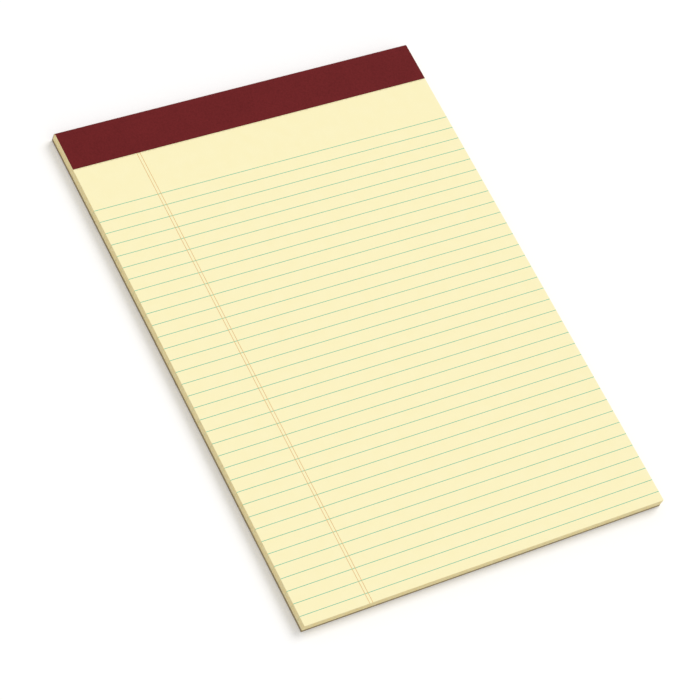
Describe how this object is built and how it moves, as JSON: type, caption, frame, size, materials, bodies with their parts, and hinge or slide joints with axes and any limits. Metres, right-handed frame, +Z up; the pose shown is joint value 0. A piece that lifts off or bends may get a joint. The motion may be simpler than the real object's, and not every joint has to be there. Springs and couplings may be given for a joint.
{
  "type": "legal pad",
  "caption": "Letter-width legal pad lying on its back: ruled yellow sheets stitched to a chipboard back, with a folded tape over the head.",
  "frame": {"origin": "centre of the bounding box on the underside of the back", "axes": "+Z up out of the page, +Y towards the taped head, +X to the right of the page"},
  "size_m": [0.216, 0.2984, 0.0068],
  "materials": {
    "chipboard": "matte uncoated grey-brown chipboard",
    "yellow_paper": "matte uncoated canary writing paper",
    "maroon_tape": "matte embossed leatherette paper",
    "stitching_wire": "galvanised wire",
    "margin_ink": "flat printed ink",
    "rule_ink": "flat printed ink"
  },
  "bodies": {
    "root": {"backing_board": "chipboard", "sheet_block": "yellow_paper", "binding_tape": "maroon_tape", "wire_stitches": "stitching_wire", "margin_rules": "margin_ink", "ruling": "rule_ink"}
  },
  "joints": []
}
